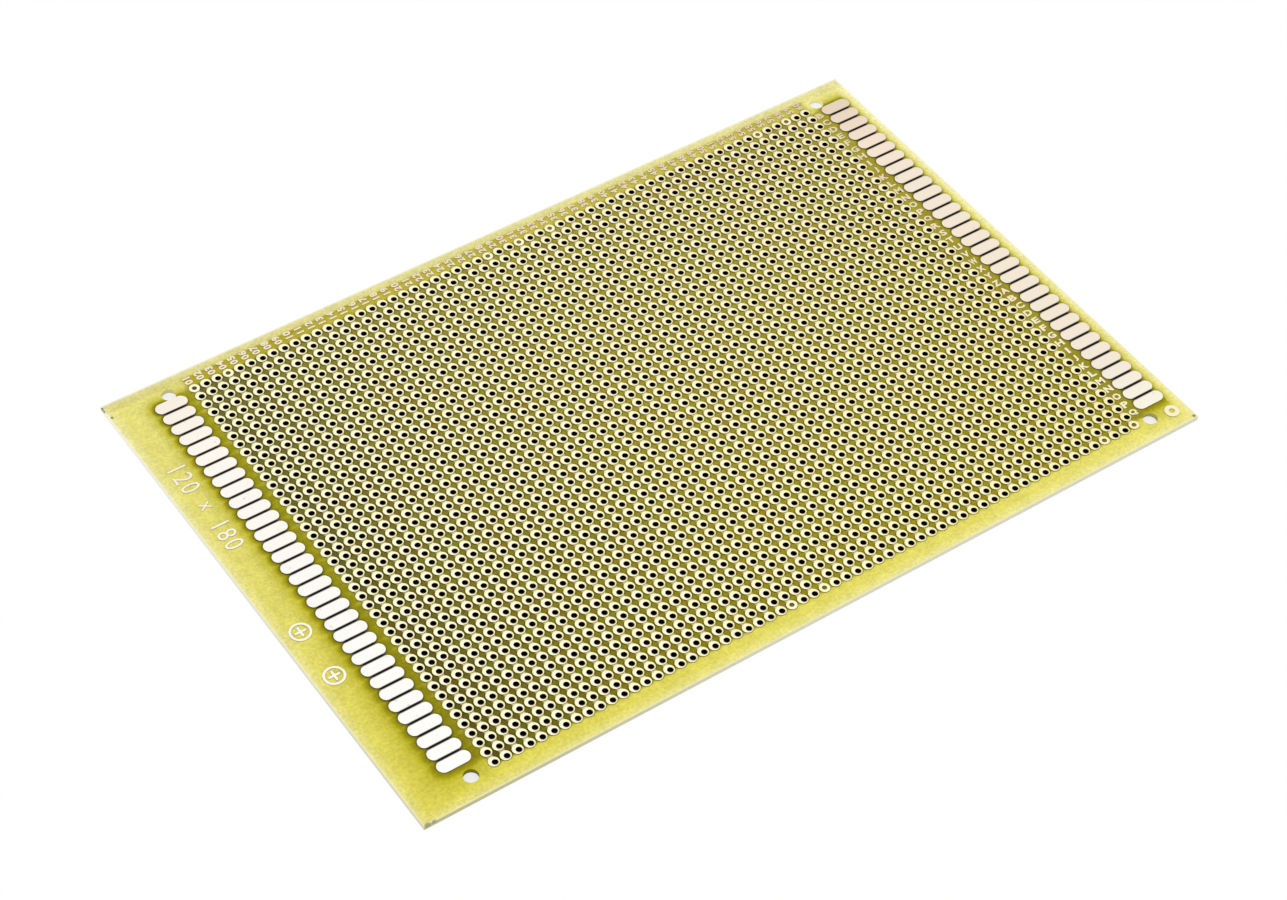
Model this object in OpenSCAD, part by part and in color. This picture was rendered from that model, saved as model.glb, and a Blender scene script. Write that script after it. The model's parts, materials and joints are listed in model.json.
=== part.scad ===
// Prototype board: a drilled glass-epoxy sheet with copper on one side only. It has a
// grid of ring pads, a column of edge contacts at each short side and a lone ring in
// one corner. Millimetres. X runs along the columns, Y to the edge behind row 01, Z up
// through the copper. The origin is the middle of the underside.

/* [Board] */
// Length of the sheet along X
board_length = 180; // [120:0.5:300]
// Width of the sheet along Y
board_width = 120; // [60:0.5:200]
// Thickness of the bare laminate
board_thickness = 1.0; // [0.6:0.1:3.2]

/* [Hole grid] */
// Holes along X
columns = 60; // [2:1:100]
// Rows of holes along Y, row 01 at the back
rows = 44; // [2:1:56]
// Distance between neighbouring holes
pitch = 2.54; // [2:0.01:5.08]
// Drilled component hole
hole_diameter = 1.1; // [0.6:0.05:1.4]
// Laminate between the left edge and column 01
left_margin = 18; // [12:0.1:30]
// Laminate between the front edge and the last row
front_margin = 5; // [2:0.1:20]

/* [Ring pads] */
// Copper foil with its coat of solder
copper_thickness = 0.1; // [0.03:0.005:0.2]
// Outer diameter of a ring pad
pad_diameter = 2.35; // [1.5:0.05:2.4]
// How far the copper pattern lies from the drilled one, along X
copper_shift_x = -0.14; // [-0.2:0.01:0.2]
// How far the copper pattern lies from the drilled one, along Y
copper_shift_y = 0.17; // [-0.2:0.01:0.2]

/* [Undrilled rings] */
// Columns whose ring is left undrilled in row 01
undrilled_back = [1, 4, 28, 31, 34, 55, 58];
// Columns whose ring is left undrilled in the last row
undrilled_front = [27, 30, 57, 60];
// Bare spot etched in the middle of an undrilled ring
etched_spot_diameter = 0.9; // [0.4:0.05:1.4]

/* [Edge contacts] */
// Contacts in each column
contacts = 33; // [1:1:40]
// Distance between neighbouring contacts
contact_pitch = 3.24; // [2:0.01:6]
// Length of a contact, round ends included
contact_length = 6.85; // [3:0.05:12]
// Width of a contact
contact_width = 2.85; // [1:0.05:4]
// Column 01 to the middle of the left contacts
left_contact_offset = 6.1; // [3:0.1:12]
// Last column of holes to the middle of the right contacts
right_contact_offset = 6.7; // [3:0.1:12]
// Middle of the grid to the middle of the left contacts, towards the back
left_contact_rise = 1.4; // [-3:0.05:3]
// Middle of the grid to the middle of the right contacts, towards the back
right_contact_rise = 1.1; // [-3:0.05:3]

/* [Mounting holes] */
// Hole for a mounting screw
mount_hole_diameter = 3; // [2:0.1:4]
// Distance between the holes along X
mount_spacing_x = 158.8; // [80:0.1:280]
// Distance between the holes along Y
mount_spacing_y = 110.8; // [40:0.1:180]
// Column 01 to the left pair of mounting holes
mount_left_offset = 5.2; // [2:0.1:12]
// Last row of holes to the front pair of mounting holes
mount_front_offset = 0.2; // [0:0.1:8]

/* [Corner ring] */
// Outer diameter of the lone ring in the front right corner
ring_diameter = 3.1; // [2:0.1:5]
// Bare spot etched in its middle
ring_spot_diameter = 1.2; // [0.6:0.1:2]
// Right edge to the middle of the ring
ring_side_distance = 3.45; // [2:0.05:10]
// Front edge to the middle of the ring
ring_front_distance = 3.95; // [2:0.05:10]

/* [Hidden] */
$fn = 24;
first_x = -board_length / 2 + left_margin;
last_x = first_x + (columns - 1) * pitch;
front_y = -board_width / 2 + front_margin;
back_y = front_y + (rows - 1) * pitch;
grid_middle_y = (front_y + back_y) / 2;

left_contact_x = first_x - left_contact_offset;
right_contact_x = last_x + right_contact_offset;
contact_straight = contact_length - contact_width;

mount_left_x = first_x - mount_left_offset;
mount_front_y = front_y - mount_front_offset;

ring_x = board_length / 2 - ring_side_distance;
ring_y = -board_width / 2 + ring_front_distance;

laminate_colour = [0.72, 0.70, 0.22];
solder_colour = [0.90, 0.87, 0.80];

function two_digits(n) = n < 10 ? str("0", n) : str(n);
function column_x(column) = first_x + (column - 1) * pitch;
function row_y(row) = back_y - (row - 1) * pitch;
function listed(value, list) = len([for (v = list) if (v == value) v]) > 0;
function undrilled(column, row) =
    (row == 1 && listed(column, undrilled_back))
    || (row == rows && listed(column, undrilled_front));

// The four screw holes, as one outline for all that they pass through
module mount_holes() {
    for (x = [0, mount_spacing_x], y = [0, mount_spacing_y])
        translate([mount_left_x + x, mount_front_y + y])
            circle(d = mount_hole_diameter);
}

// The drilled holes of one row
module drilled_row(row) {
    for (column = [1 : columns])
        if (!undrilled(column, row))
            translate([column_x(column), row_y(row)])
                circle(d = hole_diameter);
}

// Lays flat copper on the laminate
module on_laminate() {
    color(solder_colour)
        translate([0, 0, board_thickness])
            linear_extrude(copper_thickness)
                children();
}

// A contact is a bar with round ends
module contact_outline() {
    square([contact_straight, contact_width], center = true);
    for (side = [-1, 1])
        translate([side * contact_straight / 2, 0])
            circle(d = contact_width);
}

// A column of contacts. A screw hole that comes too near takes a bite out of one
module contact_column(x, middle_y) {
    on_laminate()
        difference() {
            for (n = [0 : contacts - 1])
                translate([x, middle_y + (n - (contacts - 1) / 2) * contact_pitch])
                    contact_outline();
            mount_holes();
        }
}

module laminate() {
    color(laminate_colour)
        linear_extrude(board_thickness)
            difference() {
                square([board_length, board_width], center = true);
                for (row = [1 : rows]) drilled_row(row);
                mount_holes();
            }
}

module left_contacts()
    contact_column(left_contact_x, grid_middle_y + left_contact_rise);

module right_contacts()
    contact_column(right_contact_x, grid_middle_y + right_contact_rise);

module corner_ring() {
    on_laminate()
        translate([ring_x, ring_y])
            difference() {
                circle(d = ring_diameter);
                circle(d = ring_spot_diameter);
            }
}

// One ring: the copper lies a hair off the hole that was drilled through it
module ring_pad(column, row) {
    shift = [copper_shift_x, copper_shift_y];
    translate([column_x(column), row_y(row)])
        difference() {
            translate(shift) circle(d = pad_diameter);
            if (undrilled(column, row))
                translate(shift) circle(d = etched_spot_diameter);
            else
                circle(d = hole_diameter);
        }
}

module pad_row(row) {
    on_laminate()
        for (column = [1 : columns]) ring_pad(column, row);
}

laminate();
left_contacts();
right_contacts();
corner_ring();
for (row = [1 : rows])
    pad_row(row);
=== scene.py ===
import json
import math
from types import SimpleNamespace

import bpy
from mathutils import Matrix, Vector


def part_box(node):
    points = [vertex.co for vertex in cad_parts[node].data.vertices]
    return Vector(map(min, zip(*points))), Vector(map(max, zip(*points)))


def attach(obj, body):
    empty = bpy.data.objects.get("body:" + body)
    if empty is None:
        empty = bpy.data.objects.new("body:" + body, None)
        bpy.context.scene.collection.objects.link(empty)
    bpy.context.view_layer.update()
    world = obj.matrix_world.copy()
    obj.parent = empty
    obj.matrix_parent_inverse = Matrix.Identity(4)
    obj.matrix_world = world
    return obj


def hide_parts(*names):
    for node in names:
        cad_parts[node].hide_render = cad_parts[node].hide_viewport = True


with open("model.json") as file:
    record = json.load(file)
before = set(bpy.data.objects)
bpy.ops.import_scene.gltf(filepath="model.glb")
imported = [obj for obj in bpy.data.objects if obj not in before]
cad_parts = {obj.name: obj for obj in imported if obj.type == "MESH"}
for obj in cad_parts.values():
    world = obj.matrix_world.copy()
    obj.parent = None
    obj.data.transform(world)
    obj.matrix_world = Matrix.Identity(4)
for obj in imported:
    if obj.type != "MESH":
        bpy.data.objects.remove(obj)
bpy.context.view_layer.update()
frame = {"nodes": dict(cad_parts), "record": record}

mm = 0.001
boardLow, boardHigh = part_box("laminate")
boardTop = boardHigh.z
boardX, boardY, topZ = boardHigh.x / mm, boardHigh.y / mm, boardTop / mm
scene = bpy.context.scene

# Ranges across the whole board, and how a range changes softly at its ends
leftToRight = {"From Min": -boardX, "From Max": boardX}
frontToBack = {"From Min": -boardY, "From Max": boardY}
smooth = {"interpolation_type": "SMOOTHSTEP"}

# How the board is drilled and printed, in millimetres
pattern = {
    "columns": 60,
    "rows": 44,
    "pitch": 2.54,
    "holeDiameter": 1.1,
    "padShift": (-0.14, 0.17),     # copper pattern against the drilled one
    "contacts": 33,
    "contactPitch": 3.24,
}


def colour(hexCode):
    channels = [int(hexCode[i:i + 2], 16) / 255 for i in (1, 3, 5)]
    return [c / 12.92 if c <= 0.04045 else ((c + 0.055) / 1.055) ** 2.4
            for c in channels] + [1]


def addNode(tree, kind, inputs=None, stops=None, **settings):
    # stops are the positions and colours of a colour ramp; a colour is a hex code
    node = tree.nodes.new(kind)
    for name, value in settings.items():
        setattr(node, name, value)
    for index, (position, hexCode) in enumerate(stops or []):
        elements = node.color_ramp.elements
        element = elements[index] if index < 2 else elements.new(position)
        element.position, element.color = position, colour(hexCode)
    shown = [s for s in node.inputs if s.enabled]
    for key, value in (inputs or {}).items():
        socket = shown[key] if isinstance(key, int) else next(s for s in shown if s.name == key)
        if isinstance(value, bpy.types.Node):
            value = next(s for s in value.outputs if s.enabled)
        elif isinstance(value, str) and value.startswith("#"):
            value = colour(value)
        if isinstance(value, bpy.types.NodeSocket):
            tree.links.new(value, socket)
        else:
            socket.default_value = value
    return node


def newMaterial(name):
    material = bpy.data.materials.new(name)
    material.use_nodes = True
    tree = material.node_tree
    tree.nodes.clear()
    return material, tree


def millimetres(tree):
    # a point on the object in millimetres, and its X and Y
    point = addNode(tree, "ShaderNodeTexCoord").outputs["Object"]
    scaled = addNode(tree, "ShaderNodeVectorMath", {0: point, "Scale": 1 / mm}, operation="SCALE")
    parts = addNode(tree, "ShaderNodeSeparateXYZ", {0: scaled}).outputs
    return scaled, parts["X"], parts["Y"]


def fromNearest(tree, value, first, pitch, count):
    # offset of a coordinate from the nearest of a row of evenly spaced places
    steps = addNode(tree, "ShaderNodeMath", {0: value, 1: 1 / pitch, 2: -first / pitch},
                    operation="MULTIPLY_ADD")
    nearest = addNode(tree, "ShaderNodeMath", {0: steps}, operation="ROUND")
    inRow = addNode(tree, "ShaderNodeClamp", {"Value": nearest, "Min": 0.0, "Max": count - 1.0})
    past = addNode(tree, "ShaderNodeMath", {0: inRow, 1: -pitch, 2: value}, operation="MULTIPLY_ADD")
    return addNode(tree, "ShaderNodeMath", {0: past, 1: first}, operation="SUBTRACT")


def pastSpan(tree, value, low, high):
    # how far a coordinate lies outside a span, 0 inside it
    centred = addNode(tree, "ShaderNodeMath", {0: value, 1: (low + high) / 2}, operation="SUBTRACT")
    size = addNode(tree, "ShaderNodeMath", {0: centred}, operation="ABSOLUTE")
    past = addNode(tree, "ShaderNodeMath", {0: size, 1: (high - low) / 2}, operation="SUBTRACT")
    return addNode(tree, "ShaderNodeMath", {0: past, 1: 0.0}, operation="MAXIMUM")


def span(tree, u, v, radius=0.0):
    # length of the step (u, v), less a radius
    corner = addNode(tree, "ShaderNodeCombineXYZ", {"X": u, "Y": v})
    size = addNode(tree, "ShaderNodeVectorMath", {0: corner}, operation="LENGTH")
    return addNode(tree, "ShaderNodeMath", {0: size, 1: radius}, operation="SUBTRACT")


# Where the frame has its copper, in millimetres
firstPadLow, firstPadHigh = (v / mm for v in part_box("pad_row_01"))
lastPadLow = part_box("pad_row_%02d" % pattern["rows"])[0] / mm
padRadius = (firstPadHigh.y - firstPadLow.y) / 2
padFirstX, padLastX = firstPadLow.x + padRadius, firstPadHigh.x - padRadius
padFrontY, padBackY = lastPadLow.y + padRadius, firstPadHigh.y - padRadius
holeFirstX = padFirstX - pattern["padShift"][0]
holeFrontY = padFrontY - pattern["padShift"][1]
contactBoxes = [[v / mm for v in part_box(name)] for name in ("left_contacts", "right_contacts")]
contactRadius = (contactBoxes[0][1].y - contactBoxes[0][0].y
                 - (pattern["contacts"] - 1) * pattern["contactPitch"]) / 2
screwHoles = next(m for m in frame["record"]["mounts"] if m["name"] == "corner_holes")

# Bare glass-epoxy laminate, pressed, and etched clean of copper on one side: a greenish
# yellow sheet with a low gleam; painted shade takes it to olive and then near black close to the copper.
# A range turns millimetres, or the way across the board, into a share or a strength
laminateLook = {
    "shadeReach": 8.0,              # millimetres from the copper that the tones below span
    "shadeFromCopper": ((0.0, "#8E8500"), (0.06, "#8E8500"), (0.125, "#A19700"),
                       (0.225, "#BDB522"), (0.33, "#C9C034"), (0.62, "#D7CE48"), (0.8, "#DED450")),
    # a pad shades the sheet less than a contact: as if 2 times as far off, and 4.5 mm more
    "padShade": (2.0, 4.5),
    "rimLight": {"From Max": 2.6, "To Min": 5.2, "To Max": 0.0},
    "backLight": {"To Min": 1.0, "To Max": 1.8},
    # a painted sheen at the back and a painted glow at the rim fade the sheet to this pale colour
    "pale": "#F6F1C0",             # what the sheet fades to at the back and at its rim
    "paleMiddle": 0.5,             # how much of it, and its gain across the whole board
    "paleToRight": 0.3,
    "paleToBack": 0.62,
    "paleInOpen": {"From Min": 1.0, "From Max": 5.0, "To Max": 0.4},
    "paleAtRim": {"From Max": 2.5, "To Min": 0.36, "To Max": 0.0},
    # painted shade in the channels, beside the marks and among the pads, across the board from left to
    # right
    "channel": ((0.1, "#827C00"), (0.85, "#827C00"), (0.95, "#968C04")),
    "besideMarks": ((0.1, "#958B06"), (0.5, "#A5992C"), (0.925, "#A89E3C"), (0.94, "#8C831C")),
    "amongPads": ((0.0, "#302A00"), (0.25, "#7C7200"), (0.5, "#968A06"), (1.0, "#93880A")),
    "channelWidth": {"From Min": 1.4, "From Max": 3.4, "To Min": 0.95, "To Max": 0.0},
    "numbersBand": {"overlap": 0.4, "taper": 0.4, "depth": 3.3},
    "lettersBand": {"front": 1.0, "back": 1.4},
    "marksWidth": {"From Max": 0.7, "To Min": 0.95, "To Max": 0.0},
    "lighterToBack": {"To Min": 0.04, "To Max": 0.38},
    "gridEdge": 1.1,               # pad radii from the outer pads' centres to the grid's edge
    "padsPalerToBack": {"To Max": 0.06},
    # flux stains and greener patches: colour, noise and the part of the noise that shows
    "patches": (("#8A5410", 0.11, {"From Min": 0.54, "From Max": 0.72, "To Max": 0.5}),
                ("#8C9A12", 0.17, {"From Min": 0.5, "From Max": 0.7, "To Max": 0.4})),
    "padOutline": {"From Max": 0.3, "To Min": 0.55},
    "bridge": "#F0E4B4",           # thin solder between the pads of a column
    "bridgeHalfWidth": 0.3,
    "bridgeFade": {"From Min": 0.1, "From Max": 0.5, "To Min": 0.85, "To Max": 0.0},
    # painted shade on the sheet beside a contact, from 0 to 1 millimetre away
    "shadeBesideContact": ((0.0, "#1C1408"), (0.22, "#3A3018"), (0.5, "#C6C3B2"), (1.0, "#FFFFFF")),
    # how quickly that ends past the gap, from the middle of the right contacts to their end
    "contactEnds": {"To Min": 0.34, "To Max": 0.9},
    "undersideEvenness": 0.7,      # how little the copper shows through the sheet
    "leftToRightLight": {"To Min": 1.02, "To Max": 1.1},
    "backEdgeLight": {"From Min": boardY - 3.0, "From Max": boardY - 2.0, "To Min": 1.0,
                      "To Max": 0.88},
    "cloud": {"Scale": 0.25, "Detail": 3.0},
    "cloudShade": {"From Min": 0.3, "From Max": 0.7, "To Min": 0.95, "To Max": 1.05},
    "speck": {"Scale": 1.7, "Detail": 3.0, "Roughness": 0.6},
    "speckShade": {"From Min": 0.3, "From Max": 0.7, "To Min": 0.86, "To Max": 1.14},
    "weavePitch": 0.55,            # millimetres from one glass thread to the next
    "weaveShade": {"From Min": -1.0, "From Max": 1.0, "To Min": 0.96, "To Max": 1.04},
    # painted highlight along the top of the sheared rim
    "rims": ("#F0ECC2", "#FBFAE4"),             # front and back
    "rimWidth": {"From Max": 0.6, "To Min": 0.7, "To Max": 0.0},
    # painted shade: near black walls in the small holes
    "holeWallShade": "#0B0502",
    "screwHoleWalls": ("#8A8602", "#FFF8BE"),   # front left and back right
    "cutEdges": ("#BEBD90", "#F6F6EC"),         # in the shade and in the light
    "leftEdgeLight": (0.6, 0.4),                # from front to back, and at the front
    "otherEdgeLight": 1.1,
    "otherEdgeMost": 0.5,
    # knocks at the corners: X, Y, reach and colour
    "knocks": ((-90.1, 59.3, 0.6, "#4C4C2C"), (-90.1, 58.5, 0.5, "#4C4C2C"),
               (-89.4, 56.2, 0.4, "#6B6A1A"), (-89.2, -60.2, 0.9, "#8E9474"),
               (-87.9, -60.2, 0.7, "#8E9474"), (89.4, -59.4, 0.5, "#6F7A2A")),
    "knockShare": {"To Min": 0.8, "To Max": 0.0},
    "weaveHeight": 0.35,           # against that of the specks
    "relief": {"Strength": 0.12, "Distance": 0.00003},
    "surface": {"Roughness": 0.5, "IOR": 1.5, "Specular IOR Level": 0.08},
}


def nearContacts(tree, x, y):
    # distance to the nearest contact, and how far a place is from lying between two of them
    nearest = []
    for low, high in contactBoxes:
        first, last = low.y + contactRadius, high.y - contactRadius
        pastEnd = pastSpan(tree, x, low.x + contactRadius, high.x - contactRadius)
        offset = fromNearest(tree, y, first, pattern["contactPitch"], pattern["contacts"])
        pastGaps = addNode(tree, "ShaderNodeMath", {0: pastEnd, 1: pastSpan(tree, y, first, last)},
                           operation="ADD")
        nearest.append((span(tree, pastEnd, offset, contactRadius), pastGaps))
    return [addNode(tree, "ShaderNodeMath", {0: left, 1: right}, operation="MINIMUM")
            for left, right in zip(*nearest)]


def toNearestPad(tree, x, y):
    return span(tree, fromNearest(tree, x, padFirstX, pattern["pitch"], pattern["columns"]),
                fromNearest(tree, y, padFrontY, pattern["pitch"], pattern["rows"]), padRadius)


def whereOnSheet(tree):
    # all that the tone of the laminate depends on: ways across it and distances in millimetres
    at = SimpleNamespace()
    at.point, at.x, at.y = millimetres(tree)
    facing = addNode(tree, "ShaderNodeNewGeometry").outputs["Normal"]
    at.facing = addNode(tree, "ShaderNodeSeparateXYZ", {0: facing}).outputs["Z"]
    at.fromLeft = addNode(tree, "ShaderNodeMapRange", {"Value": at.x, **leftToRight})
    at.fromFront = addNode(tree, "ShaderNodeMapRange", {"Value": at.y, **frontToBack})
    at.toContact, at.pastGaps = nearContacts(tree, at.x, at.y)
    at.toPad = toNearestPad(tree, at.x, at.y)
    toSides = []
    for value, reach in ((at.x, boardX), (at.y, boardY)):
        value = addNode(tree, "ShaderNodeMath", {0: value}, operation="ABSOLUTE")
        toSides.append(addNode(tree, "ShaderNodeMath", {0: reach, 1: value}, operation="SUBTRACT"))
    at.toRim = addNode(tree, "ShaderNodeMath", dict(enumerate(toSides)), operation="MINIMUM")
    return at


def openSheet(tree, look, at):
    # the bare sheet, with painted shade that darkens it the nearer it lies to copper
    times, more = look["padShade"]
    padReach = addNode(tree, "ShaderNodeMath", {0: at.toPad, 1: times, 2: more},
                       operation="MULTIPLY_ADD")
    toCopper = addNode(tree, "ShaderNodeMath", {0: at.toContact, 1: padReach}, operation="MINIMUM")
    # light that comes in at the rim lifts the shade again, and so does the brighter back
    rimLight = addNode(tree, "ShaderNodeMapRange", {"Value": at.toRim, **look["rimLight"]})
    backLight = addNode(tree, "ShaderNodeMapRange",
                        {"Value": at.y, **frontToBack, **look["backLight"]})
    toCopper = addNode(tree, "ShaderNodeMath", {0: toCopper, 1: backLight, 2: rimLight},
                       operation="MULTIPLY_ADD")
    farness = addNode(tree, "ShaderNodeMath", {0: toCopper, 1: look["shadeReach"]}, operation="DIVIDE")
    tone = addNode(tree, "ShaderNodeValToRGB", {0: farness}, stops=look["shadeFromCopper"])

    # painted sheen: paler to the back and a little to the right; and a painted glow at the rim
    paleness = look["paleMiddle"]
    for value, more, reach in ((at.x, look["paleToRight"], boardX), (at.y, look["paleToBack"], boardY)):
        paleness = addNode(tree, "ShaderNodeMath", {0: value, 1: more / (2 * reach), 2: paleness},
                           operation="MULTIPLY_ADD")
    openness = addNode(tree, "ShaderNodeMapRange", {"Value": toCopper, **look["paleInOpen"]})
    glow = addNode(tree, "ShaderNodeMapRange", {"Value": at.toRim, **look["paleAtRim"]})
    fading = addNode(tree, "ShaderNodeMath", {0: paleness, 1: openness, 2: glow},
                     operation="MULTIPLY_ADD")
    return addNode(tree, "ShaderNodeMix", {"Factor": fading, "A": tone, "B": look["pale"]},
                   data_type="RGBA")


def besideGrid(tree, look, at, tone):
    # painted shade, darker in the channels beside the grid and under the marks
    channel = addNode(tree, "ShaderNodeMath", {0: at.toContact, 1: at.toPad}, operation="ADD")
    channel = addNode(tree, "ShaderNodeMapRange", {"Value": channel, **look["channelWidth"]}, **smooth)
    inChannel = addNode(tree, "ShaderNodeValToRGB", {0: at.fromLeft}, stops=look["channel"])
    tone = addNode(tree, "ShaderNodeMix", {"Factor": channel, "A": tone, "B": inChannel},
                   data_type="RGBA")
    numbers, letters = look["numbersBand"], look["lettersBand"]
    pastNumbers = pastSpan(tree, at.x, padFirstX - numbers["overlap"], padLastX + numbers["overlap"])
    pastNumbers = addNode(tree, "ShaderNodeMath", {0: pastNumbers, 1: numbers["taper"]},
                          operation="MULTIPLY")
    toNumbers = span(tree, pastNumbers, pastSpan(tree, at.y, padBackY, padBackY + numbers["depth"]))
    toLetters = span(tree, pastSpan(tree, at.x, padLastX, contactBoxes[1][0].x),
                     pastSpan(tree, at.y, padFrontY + letters["front"], padBackY - letters["back"]))
    toMarks = addNode(tree, "ShaderNodeMath", {0: toNumbers, 1: toLetters}, operation="MINIMUM")
    nearMarks = addNode(tree, "ShaderNodeMapRange", {"Value": toMarks, **look["marksWidth"]}, **smooth)
    besideMarks = addNode(tree, "ShaderNodeValToRGB", {0: at.fromLeft}, stops=look["besideMarks"])
    tone = addNode(tree, "ShaderNodeMix", {"Factor": nearMarks, "A": tone, "B": besideMarks},
                   data_type="RGBA")
    # painted light: channels and marks are both lighter to the back
    shaded = addNode(tree, "ShaderNodeMath", {0: channel, 1: nearMarks}, operation="MAXIMUM")
    lighter = addNode(tree, "ShaderNodeMapRange",
                      {"Value": at.y, **frontToBack, **look["lighterToBack"]})
    lighter = addNode(tree, "ShaderNodeMath", {0: shaded, 1: lighter, 2: 1.0},
                      operation="MULTIPLY_ADD")
    tone = addNode(tree, "ShaderNodeVectorMath", {0: tone, "Scale": lighter}, operation="SCALE")
    return tone, nearMarks


def amongPads(tree, look, at, tone, nearMarks):
    # painted shade, darker among the pads, most of all at the left
    onGrid = span(tree, pastSpan(tree, at.x, padFirstX, padLastX),
                  pastSpan(tree, at.y, padFrontY, padBackY))
    onGrid = addNode(tree, "ShaderNodeMapRange",
                     {"Value": onGrid, "From Max": padRadius * look["gridEdge"], "To Min": 1.0,
                      "To Max": 0.0}, **smooth)
    base = addNode(tree, "ShaderNodeValToRGB", {0: at.fromLeft}, stops=look["amongPads"])
    # painted sheen: paler to the back
    fading = addNode(tree, "ShaderNodeMapRange",
                     {"Value": at.y, **frontToBack, **look["padsPalerToBack"]})
    base = addNode(tree, "ShaderNodeMix", {"Factor": fading, "A": base, "B": look["pale"]},
                   data_type="RGBA")
    tone = addNode(tree, "ShaderNodeMix", {"Factor": onGrid, "A": tone, "B": base}, data_type="RGBA")
    # stains and greener patches, here and there among the pads and the marks
    stainable = addNode(tree, "ShaderNodeMath", {0: onGrid, 1: nearMarks}, operation="MAXIMUM")
    for hexCode, scale, shown in look["patches"]:
        patches = addNode(tree, "ShaderNodeTexNoise",
                          {"Vector": at.point, "Scale": scale, "Detail": 5.0, "Roughness": 0.7})
        patches = addNode(tree, "ShaderNodeMapRange", {"Value": patches, **shown})
        patches = addNode(tree, "ShaderNodeMath", {0: patches, 1: stainable}, operation="MULTIPLY")
        tone = addNode(tree, "ShaderNodeMix", {"Factor": patches, "A": tone, "B": hexCode},
                       data_type="RGBA")
    # painted shade as a dark outline beside each pad, but a film of solder to the next one of its column
    outline = addNode(tree, "ShaderNodeMapRange", {"Value": at.toPad, **look["padOutline"]})
    outline = addNode(tree, "ShaderNodeMix", {"Factor": onGrid, "A": 1.0, "B": outline},
                      data_type="FLOAT")
    tone = addNode(tree, "ShaderNodeVectorMath", {0: tone, "Scale": outline}, operation="SCALE")
    aside = fromNearest(tree, at.x, padFirstX, pattern["pitch"], pattern["columns"])
    aside = addNode(tree, "ShaderNodeMath", {0: aside}, operation="ABSOLUTE")
    aside = pastSpan(tree, aside, 0.0, look["bridgeHalfWidth"])
    bridge = addNode(tree, "ShaderNodeMath", {0: at.toPad, 1: 2.0}, operation="MULTIPLY")
    bridge = addNode(tree, "ShaderNodeMapRange", {"Value": span(tree, aside, bridge),
                                                  **look["bridgeFade"]}, **smooth)
    bridge = addNode(tree, "ShaderNodeMath", {0: bridge, 1: onGrid}, operation="MULTIPLY")
    return addNode(tree, "ShaderNodeMix", {"Factor": bridge, "A": tone, "B": look["bridge"]},
                   data_type="RGBA")


def betweenContacts(tree, look, at, tone):
    # painted shade, near black between two contacts, less at their ends and least at the right rim
    rightLow, rightHigh = contactBoxes[1]
    easing = addNode(tree, "ShaderNodeMapRange",
                     {"Value": at.x, "From Min": (rightLow.x + rightHigh.x) / 2,
                      "From Max": rightHigh.x, **look["contactEnds"]})
    fromGap = addNode(tree, "ShaderNodeMath", {0: at.pastGaps, 1: easing, 2: at.toContact},
                      operation="MULTIPLY_ADD")
    dark = addNode(tree, "ShaderNodeValToRGB", {0: fromGap}, stops=look["shadeBesideContact"])
    return addNode(tree, "ShaderNodeVectorMath", {0: tone, 1: dark}, operation="MULTIPLY")


def underLight(tree, look, at, tone):
    # the underside has no copper: the pattern only shows through the sheet
    underside = addNode(tree, "ShaderNodeMath", {0: at.facing, 1: -0.5}, operation="LESS_THAN")
    showing = addNode(tree, "ShaderNodeMath", {0: underside, 1: look["undersideEvenness"]},
                      operation="MULTIPLY")
    plain = look["shadeFromCopper"][-1][1]
    tone = addNode(tree, "ShaderNodeMix", {"Factor": showing, "A": tone, "B": plain},
                   data_type="RGBA")
    # more light from the right, and less along the back edge
    brighter = addNode(tree, "ShaderNodeMapRange",
                       {"Value": at.x, **leftToRight, **look["leftToRightLight"]})
    atBack = addNode(tree, "ShaderNodeMapRange", {"Value": at.y, **look["backEdgeLight"]})
    brighter = addNode(tree, "ShaderNodeMath", {0: brighter, 1: atBack}, operation="MULTIPLY")
    return addNode(tree, "ShaderNodeVectorMath", {0: tone, "Scale": brighter}, operation="SCALE")


def addTexture(tree, look, at, tone):
    # cloud, specks and weave change the tone a little, and specks and weave the height
    cloud = addNode(tree, "ShaderNodeTexNoise", {"Vector": at.point, **look["cloud"]})
    speck = addNode(tree, "ShaderNodeTexNoise", {"Vector": at.point, **look["speck"]})
    threads = []
    for value in (at.x, at.y):
        turns = addNode(tree, "ShaderNodeMath",
                        {0: value, 1: 2 * math.pi / look["weavePitch"]}, operation="MULTIPLY")
        threads.append(addNode(tree, "ShaderNodeMath", {0: turns}, operation="SINE"))
    weave = addNode(tree, "ShaderNodeMath", dict(enumerate(threads)), operation="MULTIPLY")
    for texture, shading in ((cloud, "cloudShade"), (speck, "speckShade"), (weave, "weaveShade")):
        shade = addNode(tree, "ShaderNodeMapRange", {"Value": texture, **look[shading]})
        tone = addNode(tree, "ShaderNodeVectorMath", {0: tone, "Scale": shade}, operation="SCALE")
    height = addNode(tree, "ShaderNodeMath", {0: weave, 1: look["weaveHeight"], 2: speck},
                     operation="MULTIPLY_ADD")
    return tone, height


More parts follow.
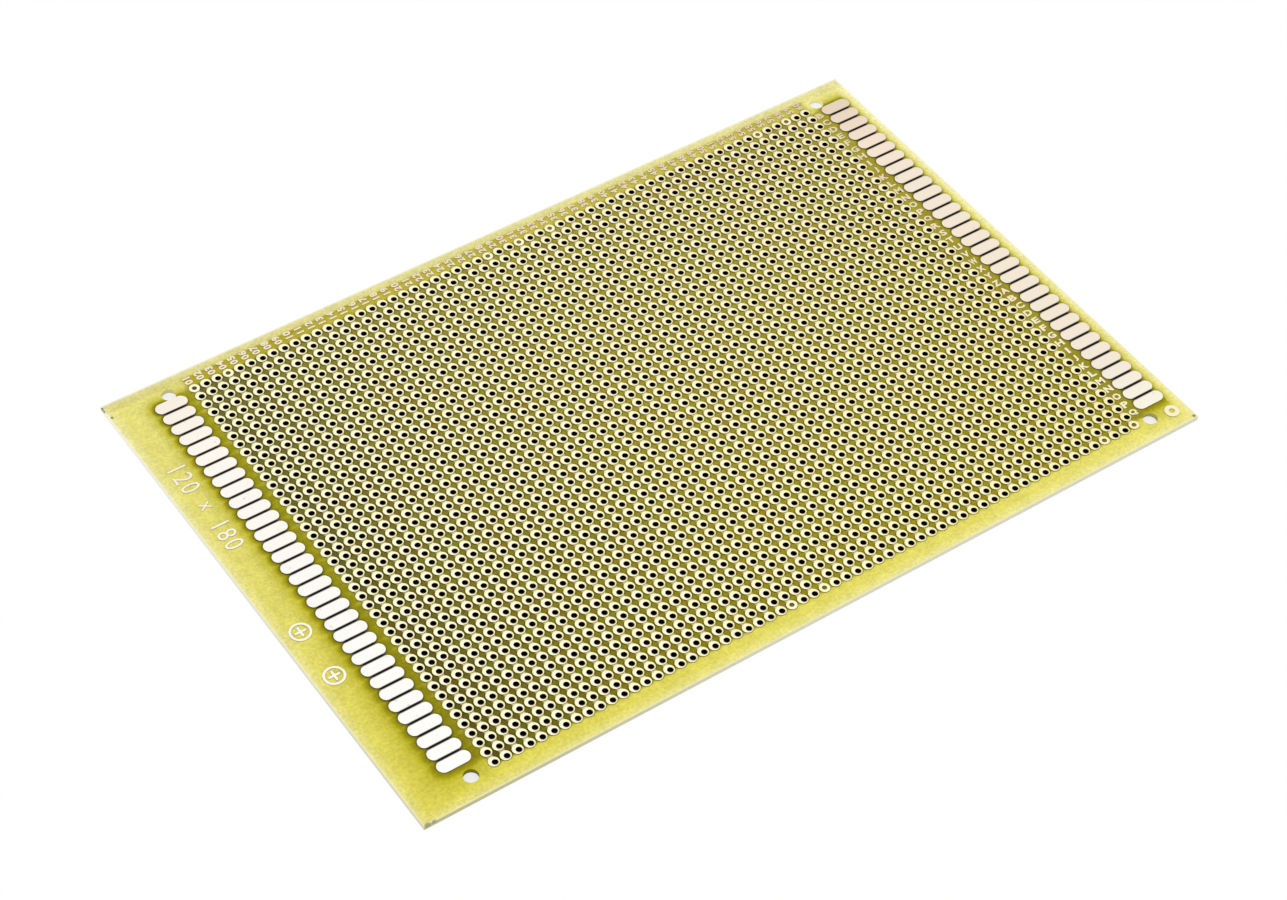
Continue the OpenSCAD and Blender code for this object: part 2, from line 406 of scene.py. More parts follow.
def onWalls(tree, look, at):
    # light comes through the sheet at the back and right, but not into the small holes
    through = addNode(tree, "ShaderNodeMath", {0: at.y, 1: 1 / boardX, 2: at.fromLeft},
                      operation="MULTIPLY_ADD")
    low, high = look["screwHoleWalls"]
    wall = addNode(tree, "ShaderNodeMix", {"Factor": through, "A": low, "B": high}, data_type="RGBA")
    underPad = addNode(tree, "ShaderNodeMath", {0: at.toPad, 1: 0.0}, operation="LESS_THAN")
    wall = addNode(tree, "ShaderNodeMix", {"Factor": underPad, "A": wall,
                                           "B": look["holeWallShade"]}, data_type="RGBA")
    # the left side catches the light, more so to the back; the others less
    onLeft = addNode(tree, "ShaderNodeMath", {0: at.x, 1: 0.05 - boardX}, operation="LESS_THAN")
    times, more = look["leftEdgeLight"]
    leftLight = addNode(tree, "ShaderNodeMath", {0: at.fromFront, 1: times, 2: more},
                        operation="MULTIPLY_ADD")
    otherLight = addNode(tree, "ShaderNodeMath", {0: at.fromLeft, 1: look["otherEdgeLight"]},
                         operation="MULTIPLY")
    otherLight = addNode(tree, "ShaderNodeMath", {0: otherLight, 1: look["otherEdgeMost"]},
                         operation="MINIMUM")
    edgeLight = addNode(tree, "ShaderNodeMix", {"Factor": onLeft, "A": otherLight, "B": leftLight},
                        data_type="FLOAT")
    low, high = look["cutEdges"]
    cutEdge = addNode(tree, "ShaderNodeMix", {"Factor": edgeLight, "A": low, "B": high},
                      data_type="RGBA")
    outside = addNode(tree, "ShaderNodeMath", {0: at.toRim, 1: 0.01}, operation="LESS_THAN")
    return addNode(tree, "ShaderNodeMix", {"Factor": outside, "A": wall, "B": cutEdge},
                   data_type="RGBA")


def atEdges(tree, look, at, tone):
    # a painted highlight along the sheared rim, and on the sides the painted light and shade of onWalls
    rim = addNode(tree, "ShaderNodeMapRange", {"Value": at.toRim, **look["rimWidth"]}, **smooth)
    front, back = look["rims"]
    rimHighlight = addNode(tree, "ShaderNodeMix", {"Factor": at.fromFront, "A": front, "B": back},
                      data_type="RGBA")
    tone = addNode(tree, "ShaderNodeMix", {"Factor": rim, "A": tone, "B": rimHighlight}, data_type="RGBA")
    upright = addNode(tree, "ShaderNodeMath", {0: at.facing}, operation="ABSOLUTE")
    upright = addNode(tree, "ShaderNodeMath", {0: upright, 1: 0.5}, operation="LESS_THAN")
    tone = addNode(tree, "ShaderNodeMix", {"Factor": upright, "A": tone,
                                           "B": onWalls(tree, look, at)}, data_type="RGBA")
    for knockX, knockY, reach, hexCode in look["knocks"]:
        away = addNode(tree, "ShaderNodeVectorMath", {0: at.point, 1: (knockX, knockY, topZ)},
                       operation="DISTANCE")
        share = addNode(tree, "ShaderNodeMapRange",
                        {"Value": away, "From Min": reach / 2, "From Max": reach,
                         **look["knockShare"]}, **smooth)
        tone = addNode(tree, "ShaderNodeMix", {"Factor": share, "A": tone, "B": hexCode},
                       data_type="RGBA")
    return tone


def makeLaminateMaterial(look):
    # resin and glass, moulded under a press and matt from the etching bath
    material, tree = newMaterial("FR4LaminateEtched")
    at = whereOnSheet(tree)
    tone, nearMarks = besideGrid(tree, look, at, openSheet(tree, look, at))
    tone = amongPads(tree, look, at, tone, nearMarks)
    tone = underLight(tree, look, at, betweenContacts(tree, look, at, tone))
    tone, height = addTexture(tree, look, at, tone)
    tone = atEdges(tree, look, at, tone)
    bump = addNode(tree, "ShaderNodeBump", {"Height": height, **look["relief"]})
    shader = addNode(tree, "ShaderNodeBsdfPrincipled",
                     {"Base Color": tone, "Normal": bump, **look["surface"]})
    addNode(tree, "ShaderNodeOutputMaterial", {"Surface": shader})
    return material


# Hot-tinned copper foil: a pale metal with a soft gleam, and a painted reflection that makes it warmer
# and duller to the right and back
tinLook = {
    # from the front to the back, at the left and at the right
    "contacts": (((0.08, "#EDEDEA"), (0.5, "#ECEAE5"), (0.83, "#EFEAE1"), (0.94, "#ECE4D7")),
                 ((0.06, "#F2EEDD"), (0.18, "#EDE1D1"), (0.3, "#ECE0CC"), (0.72, "#ECDFCC"),
                  (0.83, "#EEDCC9"), (0.94, "#E0CEB6"))),
    "pads": (((0.0, "#EEEAE2"), (1.0, "#F2EFDC")), ((0.0, "#F4ECC4"), (1.0, "#F2E8D0"))),
    "marks": (((0.0, "#EEEAE2"), (0.5, "#EEE8DA"), (1.0, "#EADDC6")),
              ((0.0, "#F4ECC4"), (0.4, "#EEE0B8"), (1.0, "#DAC8A2"))),
    "padVariety": 0.3,             # how much one pad differs in tone from the next
    # painted reflection of the yellow sheet at a pad's rim
    "rimReflection": "#FFFBB0",          # colour that a pad takes from the sheet at its rim
    "rimReflectionWidth": {"From Min": -0.5, "From Max": 0.0},
    # dried flux and painted shade: dark on the sides and round the holes
    "fluxAndShade": "#281A08",             # dried on the sides and round the holes
    "fluxAndShadeShift": (0.02, -0.06),    # it lies a hair off the hole
    "fluxAndShadeWidth": {"From Max": 0.14, "To Min": 0.9, "To Max": 0.0},
    # the rounded rims of contacts that lie side by side mirror the dark between them
    "contactRim": {"From Min": -0.24, "From Max": -0.04, "To Max": 0.95},
    "contactRimEnd": {"From Max": 0.8, "To Min": 1.0, "To Max": 0.0},
    "grain": {"Scale": 2.6, "Detail": 4.0, "Roughness": 0.6},
    "grainShade": {"From Min": 0.3, "From Max": 0.7, "To Min": 0.94, "To Max": 1.0},
    "handling": "#9A9084",         # small grey marks
    "handlingNoise": {"Scale": 0.85, "Detail": 3.0, "Roughness": 0.55},
    "handlingShown": {"From Min": 0.66, "From Max": 0.76, "To Max": 0.5},
    "relief": {"Strength": 0.15, "Distance": 0.00003},
    "surface": {"Metallic": 1.0, "Roughness": 0.38},
}


def makeTinMaterial(look, name, tones, padTone=False):
    # solder levelled by hot air over copper: bright, with fine ripples
    material, tree = newMaterial(name)
    point, x, y = millimetres(tree)
    # painted reflection: warmer and duller to the right and to the back
    fromLeft = addNode(tree, "ShaderNodeMapRange", {"Value": x, **leftToRight})
    fromFront = addNode(tree, "ShaderNodeMapRange", {"Value": y, **frontToBack})
    left, right = (addNode(tree, "ShaderNodeValToRGB", {0: fromFront}, stops=stops) for stops in tones)
    if padTone:
        own = addNode(tree, "ShaderNodeAttribute", attribute_name="padTone").outputs["Fac"]
        fromLeft = addNode(tree, "ShaderNodeMath", {0: own, 1: look["padVariety"], 2: fromLeft},
                           operation="MULTIPLY_ADD")
        fromLeft = addNode(tree, "ShaderNodeMath", {0: fromLeft, 1: look["padVariety"] / 2},
                           operation="SUBTRACT")
    tone = addNode(tree, "ShaderNodeMix", {"Factor": fromLeft, "A": left, "B": right}, data_type="RGBA")
    if padTone:
        # painted reflection of the sheet at the rim of each pad
        outward = addNode(tree, "ShaderNodeMapRange", {"Value": toNearestPad(tree, x, y),
                                                       **look["rimReflectionWidth"]})
        reflected = addNode(tree, "ShaderNodeMix", {"Factor": outward, "A": (1, 1, 1, 1),
                                               "B": look["rimReflection"]}, data_type="RGBA")
        tone = addNode(tree, "ShaderNodeVectorMath", {0: tone, 1: reflected}, operation="MULTIPLY")
        # dried flux and painted shade in a ring round each hole
        aside, ahead = look["fluxAndShadeShift"]
        dark = span(tree, fromNearest(tree, x, holeFirstX + aside, pattern["pitch"], pattern["columns"]),
                    fromNearest(tree, y, holeFrontY + ahead, pattern["pitch"], pattern["rows"]),
                    pattern["holeDiameter"] / 2)
        dark = addNode(tree, "ShaderNodeMapRange", {"Value": dark, **look["fluxAndShadeWidth"]})
        covered = addNode(tree, "ShaderNodeAttribute", attribute_name="drilled").outputs["Fac"]
    else:
        toContact, pastGaps = nearContacts(tree, x, y)
        dark = addNode(tree, "ShaderNodeMapRange", {"Value": toContact, **look["contactRim"]})
        covered = addNode(tree, "ShaderNodeMapRange", {"Value": pastGaps, **look["contactRimEnd"]})
    dark = addNode(tree, "ShaderNodeMath", {0: dark, 1: covered}, operation="MULTIPLY")
    tone = addNode(tree, "ShaderNodeMix", {"Factor": dark, "A": tone, "B": look["fluxAndShade"]},
                   data_type="RGBA")

    grain = addNode(tree, "ShaderNodeTexNoise", {"Vector": point, **look["grain"]})
    shade = addNode(tree, "ShaderNodeMapRange", {"Value": grain, **look["grainShade"]})
    tone = addNode(tree, "ShaderNodeVectorMath", {0: tone, "Scale": shade}, operation="SCALE")
    handled = addNode(tree, "ShaderNodeTexNoise", {"Vector": point, **look["handlingNoise"]})
    handled = addNode(tree, "ShaderNodeMapRange", {"Value": handled, **look["handlingShown"]})
    tone = addNode(tree, "ShaderNodeMix", {"Factor": handled, "A": tone, "B": look["handling"]},
                   data_type="RGBA")

    # dried flux and painted shade on the upright sides
    slope = addNode(tree, "ShaderNodeSeparateXYZ",
                    {0: addNode(tree, "ShaderNodeNewGeometry").outputs["True Normal"]}).outputs[2]
    isSide = addNode(tree, "ShaderNodeMath", {0: slope, 1: 0.7}, operation="LESS_THAN")
    tone = addNode(tree, "ShaderNodeMix", {"Factor": isSide, "A": tone, "B": look["fluxAndShade"]},
                   data_type="RGBA")

    bump = addNode(tree, "ShaderNodeBump", {"Height": grain, **look["relief"]})
    shader = addNode(tree, "ShaderNodeBsdfPrincipled",
                     {"Base Color": tone, "Normal": bump, **look["surface"]})
    addNode(tree, "ShaderNodeOutputMaterial", {"Surface": shader})
    return material


laminateMaterial = makeLaminateMaterial(laminateLook)
contactTin = makeTinMaterial(tinLook, "HotTinnedCopper", tinLook["contacts"])
padTin = makeTinMaterial(tinLook, "HotTinnedCopperPads", tinLook["pads"], padTone=True)
markTin = makeTinMaterial(tinLook, "HotTinnedCopperMarks", tinLook["marks"])


def paint(node, material):
    mesh = frame["nodes"][node].data
    for index in range(len(mesh.materials)):
        mesh.materials[index] = material
    if not len(mesh.materials):
        mesh.materials.append(material)


paint("laminate", laminateMaterial)
for node in ("left_contacts", "right_contacts"):
    paint(node, contactTin)
paint("corner_ring", markTin)
print("materials made")

# Ring pads: one ring of solder at every hole
padLook = {
    "thickness": firstPadHigh.z - topZ,
    "leastFullness": 0.86,         # thinnest solder, against the full thickness
    "shoulder": 0.06,              # width of the rounded edge of the solder
    "spotDiameter": 0.9,           # bare spot of a ring that isn't drilled
    "segments": 16,
    "seed": 7,
    "undrilledBack": (1, 4, 28, 31, 34, 55, 58),
    "undrilledFront": (27, 30, 57, 60),
}


def newTree(name, inputs):
    tree = bpy.data.node_groups.new(name, "GeometryNodeTree")
    for label, kind, value in inputs:
        socket = tree.interface.new_socket(label, in_out="INPUT", socket_type="NodeSocket" + kind)
        if value is not None:
            socket.default_value = value
    tree.interface.new_socket("Geometry", in_out="OUTPUT", socket_type="NodeSocketGeometry")
    return tree, addNode(tree, "NodeGroupInput").outputs


def makeRingTree():
    # one closed ring: a profile of five points, swept round in flat segments
    corners = 5
    tree, given = newTree("solderRing", [
        ("Outer Radius", "Float", 0.0011), ("Inner Radius", "Float", 0.00055),
        ("Outer Centre", "Vector", None), ("Inner Centre", "Vector", None),
        ("Thickness", "Float", 0.0001), ("Shoulder", "Float", 0.00005), ("Segments", "Int", 16)])
    around = addNode(tree, "ShaderNodeMath", {0: given["Segments"], 1: 1.0}, operation="ADD")
    strip = addNode(tree, "GeometryNodeMeshGrid",
                    {"Size X": 1.0, "Size Y": 1.0, "Vertices X": around, "Vertices Y": corners})
    index = addNode(tree, "GeometryNodeInputIndex")
    stepRatio = addNode(tree, "ShaderNodeMath", {0: index, 1: corners}, operation="DIVIDE")
    step = addNode(tree, "ShaderNodeMath", {0: stepRatio}, operation="FLOOR")
    profile = addNode(tree, "ShaderNodeMath", {0: index, 1: corners}, operation="MODULO")
    turn = addNode(tree, "ShaderNodeMath", {0: step, 1: 2 * math.pi}, operation="MULTIPLY")
    angle = addNode(tree, "ShaderNodeMath", {0: turn, 1: given["Segments"]}, operation="DIVIDE")
    # points 0, 1 and 4 belong to the outer side, points 1 and 2 to the top
    fromInner = addNode(tree, "ShaderNodeMath", {0: profile, 1: 2.5}, operation="SUBTRACT")
    innerGap = addNode(tree, "ShaderNodeMath", {0: fromInner}, operation="ABSOLUTE")
    isOuter = addNode(tree, "ShaderNodeMath", {0: innerGap, 1: 1.0}, operation="GREATER_THAN")
    fromTop = addNode(tree, "ShaderNodeMath", {0: profile, 1: 1.5}, operation="SUBTRACT")
    topGap = addNode(tree, "ShaderNodeMath", {0: fromTop}, operation="ABSOLUTE")
    isTop = addNode(tree, "ShaderNodeMath", {0: topGap, 1: 1.0}, operation="LESS_THAN")
    radius = addNode(tree, "ShaderNodeMix",
                     {"Factor": isOuter, "A": given["Inner Radius"], "B": given["Outer Radius"]},
                     data_type="FLOAT")
    centre = addNode(tree, "ShaderNodeMix",
                     {"Factor": isOuter, "A": given["Inner Centre"], "B": given["Outer Centre"]},
                     data_type="VECTOR")
    side = addNode(tree, "ShaderNodeMath", {0: isOuter, 1: -2.0, 2: 1.0}, operation="MULTIPLY_ADD")
    inward = addNode(tree, "ShaderNodeMath", {0: side, 1: isTop}, operation="MULTIPLY")
    bevelled = addNode(tree, "ShaderNodeMath", {0: inward, 1: given["Shoulder"], 2: radius},
                       operation="MULTIPLY_ADD")
    cosine = addNode(tree, "ShaderNodeMath", {0: angle}, operation="COSINE")
    sine = addNode(tree, "ShaderNodeMath", {0: angle}, operation="SINE")
    x = addNode(tree, "ShaderNodeMath", {0: bevelled, 1: cosine}, operation="MULTIPLY")
    y = addNode(tree, "ShaderNodeMath", {0: bevelled, 1: sine}, operation="MULTIPLY")
    z = addNode(tree, "ShaderNodeMath", {0: isTop, 1: given["Thickness"]}, operation="MULTIPLY")
    onCircle = addNode(tree, "ShaderNodeCombineXYZ", {"X": x, "Y": y, "Z": z})
    point = addNode(tree, "ShaderNodeVectorMath", {0: onCircle, 1: centre}, operation="ADD")
    placed = addNode(tree, "GeometryNodeSetPosition",
                     {"Geometry": strip.outputs["Mesh"], "Position": point})
    closed = addNode(tree, "GeometryNodeMergeByDistance", {"Geometry": placed, "Distance": 1e-7})
    addNode(tree, "NodeGroupOutput", {"Geometry": closed})
    return tree


def makePadTree(ringTree, look):
    # a ring on every point, drilled or left with its bare spot
    tree, given = newTree("ringPads", [
        ("Points", "Geometry", None), ("Outer Radius", "Float", 0.0011),
        ("Hole Radius", "Float", 0.00055), ("Spot Radius", "Float", 0.00045),
        ("Pad Shift", "Vector", None), ("Thickness", "Float", 0.0001),
        ("Shoulder", "Float", 0.00005), ("Segments", "Int", 16), ("Seed", "Int", 0),
        ("Finish", "Material", None)])
    undrilled = addNode(tree, "GeometryNodeInputNamedAttribute", {"Name": "undrilled"},
                        data_type="BOOLEAN").outputs["Attribute"]
    drilled = addNode(tree, "FunctionNodeBooleanMath", {0: undrilled}, operation="NOT")
    fullness = addNode(tree, "FunctionNodeRandomValue",
                       {"Min": look["leastFullness"], "Max": 1.0, "Seed": given["Seed"]},
                       data_type="FLOAT")
    size = addNode(tree, "ShaderNodeCombineXYZ", {"X": 1.0, "Y": 1.0, "Z": fullness})
    joined = tree.nodes.new("GeometryNodeJoinGeometry")
    for picked, radius, centred in ((undrilled, "Spot Radius", True), (drilled, "Hole Radius", False)):
        ring = addNode(tree, "GeometryNodeGroup", node_tree=ringTree)
        links = {label: label for label in ("Outer Radius", "Thickness", "Shoulder", "Segments")}
        links.update({"Inner Radius": radius, "Outer Centre": "Pad Shift"})
        if centred:
            links["Inner Centre"] = "Pad Shift"
        for label, source in links.items():
            tree.links.new(given[source], ring.inputs[label])
        rings = addNode(tree, "GeometryNodeInstanceOnPoints",
                        {"Points": given["Points"], "Selection": picked, "Instance": ring,
                         "Scale": size})
        marked = addNode(tree, "GeometryNodeStoreNamedAttribute",
                         {"Geometry": rings, "Name": "drilled", "Value": 0.0 if centred else 1.0},
                         data_type="FLOAT", domain="INSTANCE")
        tree.links.new(marked.outputs[0], joined.inputs[0])
    tone = addNode(tree, "FunctionNodeRandomValue", {"Min": 0.0, "Max": 1.0, "Seed": given["Seed"]},
                   data_type="FLOAT")
    toned = addNode(tree, "GeometryNodeStoreNamedAttribute",
                    {"Geometry": joined, "Name": "padTone", "Value": tone},
                    data_type="FLOAT", domain="INSTANCE")
    real = addNode(tree, "GeometryNodeRealizeInstances", {"Geometry": toned})
    # flat tops, rounded sides: the top is the second of every four faces
    face = addNode(tree, "ShaderNodeMath", {0: addNode(tree, "GeometryNodeInputIndex"), 1: 4.0},
                   operation="MODULO")
    isSide = addNode(tree, "ShaderNodeMath", {0: face, 1: 1.0, 2: 0.5}, operation="COMPARE")
    isSide = addNode(tree, "ShaderNodeMath", {0: 1.0, 1: isSide}, operation="SUBTRACT")
    shaded = addNode(tree, "GeometryNodeSetShadeSmooth", {"Geometry": real, "Shade Smooth": isSide})
    finished = addNode(tree, "GeometryNodeSetMaterial",
                       {"Geometry": shaded, "Material": given["Finish"]})
    addNode(tree, "NodeGroupOutput", {"Geometry": finished})
    return tree


def makePads(name, rows, look, tree):
    points, undrilled = [], []
    for row in rows:
        for column in range(1, pattern["columns"] + 1):
            points.append(((holeFirstX + (column - 1) * pattern["pitch"]) * mm,
                           (holeFrontY + (pattern["rows"] - row) * pattern["pitch"]) * mm, boardTop))
            undrilled.append((row == 1 and column in look["undrilledBack"])
                             or (row == pattern["rows"] and column in look["undrilledFront"]))
    mesh = bpy.data.meshes.new(name + "Points")
    mesh.from_pydata(points, [], [])
    mesh.attributes.new("undrilled", "BOOLEAN", "POINT").data.foreach_set("value", undrilled)
    source = bpy.data.objects.new(name + "Points", mesh)
    scene.collection.objects.link(source)
    modifier = source.modifiers.new("Ring pads", "NODES")
    modifier.node_group = tree
    values = {
        "Outer Radius": padRadius * mm,
        "Hole Radius": pattern["holeDiameter"] / 2 * mm,
        "Spot Radius": look["spotDiameter"] / 2 * mm,
        "Pad Shift": [v * mm for v in pattern["padShift"]] + [0.0],
        "Thickness": look["thickness"] * mm,
        "Shoulder": look["shoulder"] * mm,
        "Segments": look["segments"],
        "Seed": look["seed"] + rows[0],
        "Finish": padTin,
    }
    for socket in tree.interface.items_tree:
        if socket.in_out == "INPUT" and socket.name in values:
            modifier[socket.identifier] = values[socket.name]
    depsgraph = bpy.context.evaluated_depsgraph_get()
    result = bpy.data.meshes.new_from_object(source.evaluated_get(depsgraph), depsgraph=depsgraph)
    result.name = name
    pads = bpy.data.objects.new(name, result)
    scene.collection.objects.link(pads)
    bpy.data.objects.remove(source)
    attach(pads, "root")
    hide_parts(*["pad_row_%02d" % row for row in rows])
    return pads


padTree = makePadTree(makeRingTree(), padLook)
halfway = pattern["rows"] // 2
for name, rows in (("backPads", range(1, halfway + 1)),
                   ("frontPads", range(halfway + 1, pattern["rows"] + 1))):
    pads = makePads(name, list(rows), padLook, padTree)
    print(name, len(pads.data.polygons), "faces")

# Marks: plain numbers and letters, etched in the copper and tinned with it
markLook = {
    "thickness": 0.08,              # millimetres above the laminate
    # height, stretch sideways, widest and added boldness of each kind of mark
    "numbers": {"height": 1.7, "stretch": 1.0, "widest": 1.2, "boldness": 0.05},
    "letters": {"height": 1.7, "stretch": 1.35, "widest": 1.7, "boldness": 0.05},
    "sizes": {"height": 3.9, "stretch": 0.85, "widest": 2.4, "boldness": 0.0},
    "numberRise": (2.15, 3.35),     # back row of holes to the tens and to the units
    "numberOffset": -0.27,          # column of holes to the middle of its number
    "letterOffset": (1.94, 0.3),    # last hole of a row to the middle of its letter
    "sizeText": "120 x 180",
    "smallHeight": 0.55,            # height of its x against that of a figure
    "sizeMiddle": (-85.5, 26.2),
    "sizeAdvance": 2.82,
    "targets": ((-85.9, -10.3), (-85.9, -22.5)),
    "targetDiameter": 4.4,
    "targetStroke": 0.5,
    "targetArm": 0.55,              # length of an arm of the cross against the ring's radius
    "targetSegments": 40,
}
glyphs = {}
markPoints, markFaces = [], []


def glyph(character, boldness):
    # a solid letter, one unit high
    curve = bpy.data.curves.new("glyph", "FONT")
    curve.body = character
    curve.resolution_u = 3
    curve.offset = boldness
    curve.extrude = 0.5
    holder = bpy.data.objects.new("glyph", curve)
    scene.collection.objects.link(holder)
    depsgraph = bpy.context.evaluated_depsgraph_get()
    mesh = bpy.data.meshes.new_from_object(holder.evaluated_get(depsgraph), depsgraph=depsgraph)
    bpy.data.objects.remove(holder)
    points = [v.co.copy() for v in mesh.vertices]
    low = [min(p[i] for p in points) for i in range(3)]
    size = [max(p[i] for p in points) - low[i] for i in range(3)]
    shape = [tuple((p[i] - low[i]) / size[i] - 0.5 for i in range(3)) for p in points]
    return shape, [tuple(p.vertices) for p in mesh.polygons], size[0] / size[1]


def stamp(character, middle, turn, look):
    # puts a glyph on the laminate, its middle at a point, turned by an angle
    key = (character, look["boldness"])
    if key not in glyphs:
        glyphs[key] = glyph(*key)
    points, faces, aspect = glyphs[key]
    height = look["height"] * (markLook["smallHeight"] if character == "x" else 1.0)
    width = min(height * aspect * look["stretch"], look["widest"])
    start = len(markPoints)
    cosine, sine = math.cos(turn), math.sin(turn)
    for u, v, w in points:
        a, b = u * width, v * height
        markPoints.append(((middle[0] + a * cosine - b * sine) * mm,
                           (middle[1] + a * sine + b * cosine) * mm,
                           boardTop + (w + 0.5) * markLook["thickness"] * mm))
    markFaces.extend(tuple(i + start for i in face) for face in faces)


def addPlate(outline, middle, hole=None):
    # a flat plate with this outline, or the band between it and a hole with as many points
    rings = [outline] + ([hole] if hole else [])
    n = len(outline)
    start = len(markPoints)
    for points in rings:
        for level in (0, markLook["thickness"]):
            markPoints.extend(((middle[0] + px) * mm, (middle[1] + py) * mm, boardTop + level * mm)
                              for px, py in points)
    low, high, innerLow, innerHigh = (start + n * k for k in range(4))
    for k in range(n):
        m = (k + 1) % n
        markFaces.append((low + k, low + m, high + m, high + k))
        if hole:
            markFaces.append((innerLow + m, innerLow + k, innerHigh + k, innerHigh + m))
            markFaces.append((high + k, high + m, innerHigh + m, innerHigh + k))
            markFaces.append((low + m, low + k, innerLow + k, innerLow + m))
    if not hole:
        markFaces.append(tuple(range(high, high + n)))
        markFaces.append(tuple(reversed(range(low, low + n))))


def addTarget(middle, look):
    # a plain ring with a cross inside it
    outer, stroke, segments = look["targetDiameter"] / 2, look["targetStroke"], look["targetSegments"]
    circle = [(math.cos(2 * math.pi * k / segments), math.sin(2 * math.pi * k / segments))
              for k in range(segments)]
    addPlate([(outer * u, outer * v) for u, v in circle], middle,
             [((outer - stroke) * u, (outer - stroke) * v) for u, v in circle])
    arm, half = outer * look["targetArm"], stroke / 2
    corner = [(arm, -half), (arm, half), (half, half)]
    cross = []
    for quarter in range(4):
        cosine, sine = round(math.cos(quarter * math.pi / 2)), round(math.sin(quarter * math.pi / 2))
        cross += [(u * cosine - v * sine, u * sine + v * cosine) for u, v in corner]
    addPlate(cross, middle)


for column in range(1, pattern["columns"] + 1):
    x = holeFirstX + (column - 1) * pattern["pitch"] + markLook["numberOffset"]
    for digit, rise in zip("%02d" % column, markLook["numberRise"]):
        y = holeFrontY + (pattern["rows"] - 1) * pattern["pitch"] + rise
        stamp(digit, (x, y), math.pi / 2, markLook["numbers"])
for row in range(2, pattern["rows"]):
    x = holeFirstX + (pattern["columns"] - 1) * pattern["pitch"] + markLook["letterOffset"][0]
    y = holeFrontY + (pattern["rows"] - row) * pattern["pitch"] + markLook["letterOffset"][1]
    stamp("ABCDEFGHIJKLMNOPQRSTUVWXYZ"[(row - 1) % 26], (x, y), 0.0, markLook["letters"])
for index, character in enumerate(markLook["sizeText"]):
    if character != " ":
        steps = (len(markLook["sizeText"]) - 1) / 2 - index
        y = markLook["sizeMiddle"][1] + steps * markLook["sizeAdvance"]
        stamp(character, (markLook["sizeMiddle"][0], y), -math.pi / 2, markLook["sizes"])
for middle in markLook["targets"]:
    addTarget(middle, markLook)
marksMesh = bpy.data.meshes.new("etchedMarks")
marksMesh.from_pydata(markPoints, [], markFaces)
marksMesh.materials.append(markTin)
marks = bpy.data.objects.new("etchedMarks", marksMesh)
scene.collection.objects.link(marks)
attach(marks, "root")
print("marks", len(markFaces), "faces")

# Floor, light and camera
stageLook = {
    "floorSize": 6.0,
    "floorDrop": 0.05,             # millimetres under the board
    "floorColour": "#FFFFFF",
    "shadedColour": "#6A4A2C",     # under the board, past the thickness of its holes
    "shadeInset": 1.0,             # millimetres from the board's edge to where that shade is full
    "inScrewHole": {"From Min": 0.2, "From Max": 0.6, "To Min": 0.74, "To Max": 0.0},
    "whiteShare": 0.93,            # how much of the floor the camera sees as plain white
    "worldStrength": 0.92,
    "lights": {
        "softbox": {"energy": 2.2, "size": 1.2, "at": (0.5, 0.85, 1.6)},
        "fill": {"energy": 0.8, "size": 1.0, "at": (-1.1, -0.4, 1.0)},
    },
}
cameraLook = {
    "aim": (-7.2, -7.5, topZ + 0.05),   # millimetres
    "distance": 615.3,
    "azimuth": -126.24,            # degrees from +X to the camera
    "elevation": 47.73,
    "roll": 2.35,
    "focalLength": 88.4,
    "sensorWidth": 36.0,
    "clipping": (0.01, 20.0),      # metres
}


def makeFloorMaterial(look):
    # matt white card; the camera sees it as clean white, but for a little of the shadow
    material, tree = newMaterial("MattWhiteCard")
    x, y = millimetres(tree)[1:]
    rays = addNode(tree, "ShaderNodeLightPath").outputs
    seen = addNode(tree, "ShaderNodeMath", {0: rays["Is Camera Ray"], 1: rays["Is Glossy Ray"]},
                   operation="MAXIMUM")
    seen = addNode(tree, "ShaderNodeMath", {0: seen, 1: rays["Is Transmission Ray"]},
                   operation="MAXIMUM")
    # under the board the card is only as light as the holes let it be, save in the screw holes
    halfX, halfY = (half - look["shadeInset"] for half in (boardX, boardY))
    past = span(tree, pastSpan(tree, x, -halfX, halfX), pastSpan(tree, y, -halfY, halfY))
    outside = addNode(tree, "ShaderNodeMapRange", {"Value": past}, **smooth)
    fromHole = []
    for value, axis, middle in zip((x, y), "xy", screwHoles["pos_m"]):
        centred = addNode(tree, "ShaderNodeMath", {0: value, 1: middle / mm}, operation="SUBTRACT")
        size = addNode(tree, "ShaderNodeMath", {0: centred}, operation="ABSOLUTE")
        half = screwHoles["dims"]["spacing_%s_mm" % axis] / 2
        fromHole.append(addNode(tree, "ShaderNodeMath", {0: size, 1: half}, operation="SUBTRACT"))
    toHole = span(tree, *fromHole, screwHoles["dims"]["hole_r_mm"])
    inHole = addNode(tree, "ShaderNodeMapRange", {"Value": toHole, **look["inScrewHole"]}, **smooth)
    lit = addNode(tree, "ShaderNodeMath", {0: outside, 1: inHole}, operation="MAXIMUM")
    share = addNode(tree, "ShaderNodeMath", {0: seen, 1: lit}, operation="MULTIPLY")
    share = addNode(tree, "ShaderNodeMath", {0: share, 1: look["whiteShare"]}, operation="MULTIPLY")
    card = addNode(tree, "ShaderNodeMix", {"Factor": lit, "A": look["shadedColour"],
                                           "B": look["floorColour"]}, data_type="RGBA")
    diffuse = addNode(tree, "ShaderNodeBsdfDiffuse", {"Color": card})
    white = addNode(tree, "ShaderNodeEmission", {"Color": (1, 1, 1, 1), "Strength": 1.0})
    shader = addNode(tree, "ShaderNodeMixShader", {0: share, 1: diffuse, 2: white})
    addNode(tree, "ShaderNodeOutputMaterial", {"Surface": shader})
    return material


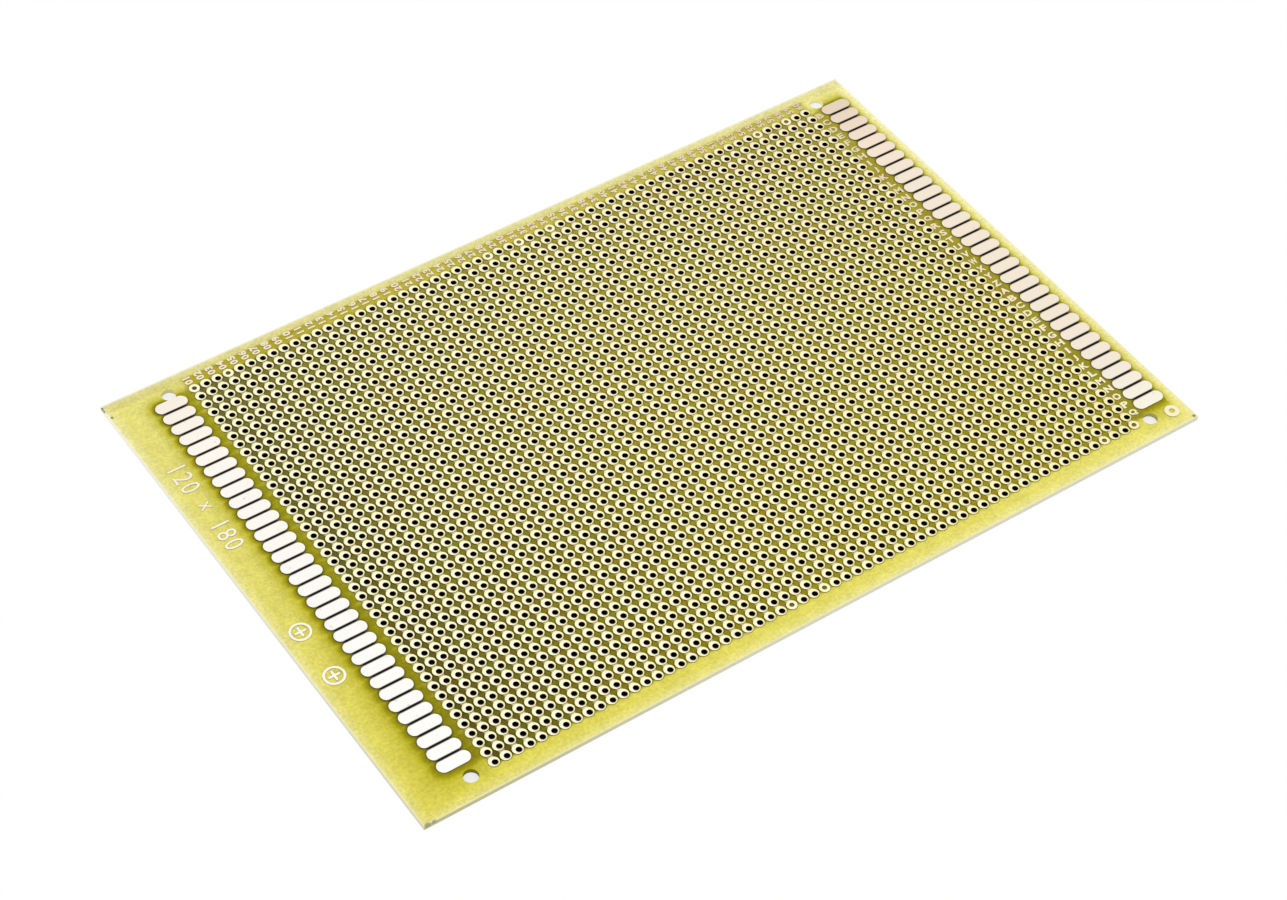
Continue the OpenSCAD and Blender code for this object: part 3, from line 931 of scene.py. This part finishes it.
def makeFloor(look):
    half = look["floorSize"] / 2
    low = boardLow.z - look["floorDrop"] * mm
    mesh = bpy.data.meshes.new("floor")
    mesh.from_pydata([(-half, -half, low), (half, -half, low), (half, half, low), (-half, half, low)],
                     [], [(0, 1, 2, 3)])
    mesh.materials.append(makeFloorMaterial(look))
    floor = bpy.data.objects.new("floor", mesh)
    scene.collection.objects.link(floor)


def putFacing(holder, at, aim, roll=0.0):
    # stands a light or a camera at a point, turned to another
    direction = Vector(at) - Vector(aim)
    turn = direction.to_track_quat("Z", "Y").to_matrix() @ Matrix.Rotation(roll, 3, "Z")
    holder.matrix_world = Matrix.LocRotScale(Vector(at), turn.to_quaternion(), None)
    scene.collection.objects.link(holder)


def makeSoftLight(name, look):
    light = bpy.data.lights.new(name, "AREA")
    light.energy = look["energy"]
    light.size = look["size"]
    putFacing(bpy.data.objects.new(name, light), look["at"], (0, 0, 0))


def makeWorld(look):
    world = bpy.data.worlds.new("studio")
    world.use_nodes = True
    tree = world.node_tree
    tree.nodes.clear()
    rays = addNode(tree, "ShaderNodeLightPath").outputs
    strength = addNode(tree, "ShaderNodeMapRange", {"Value": rays["Is Camera Ray"],
                                                    "To Min": look["worldStrength"]})
    sky = addNode(tree, "ShaderNodeBackground", {"Color": (1, 1, 1, 1), "Strength": strength})
    addNode(tree, "ShaderNodeOutputWorld", {"Surface": sky})
    scene.world = world


def makeCamera(look):
    azimuth, elevation = math.radians(look["azimuth"]), math.radians(look["elevation"])
    aim = Vector(look["aim"]) * mm
    away = Vector((math.cos(elevation) * math.cos(azimuth), math.cos(elevation) * math.sin(azimuth),
                   math.sin(elevation)))
    lens = bpy.data.cameras.new("studioCamera")
    lens.sensor_width = look["sensorWidth"]
    lens.lens = look["focalLength"]
    lens.clip_start, lens.clip_end = look["clipping"]
    camera = bpy.data.objects.new("studioCamera", lens)
    putFacing(camera, aim + away * look["distance"] * mm, aim, math.radians(look["roll"]))
    scene.camera = camera


makeFloor(stageLook)
for name, look in stageLook["lights"].items():
    makeSoftLight(name, look)
makeWorld(stageLook)
makeCamera(cameraLook)
scene.view_settings.view_transform = "Standard"
print("stage and camera set")
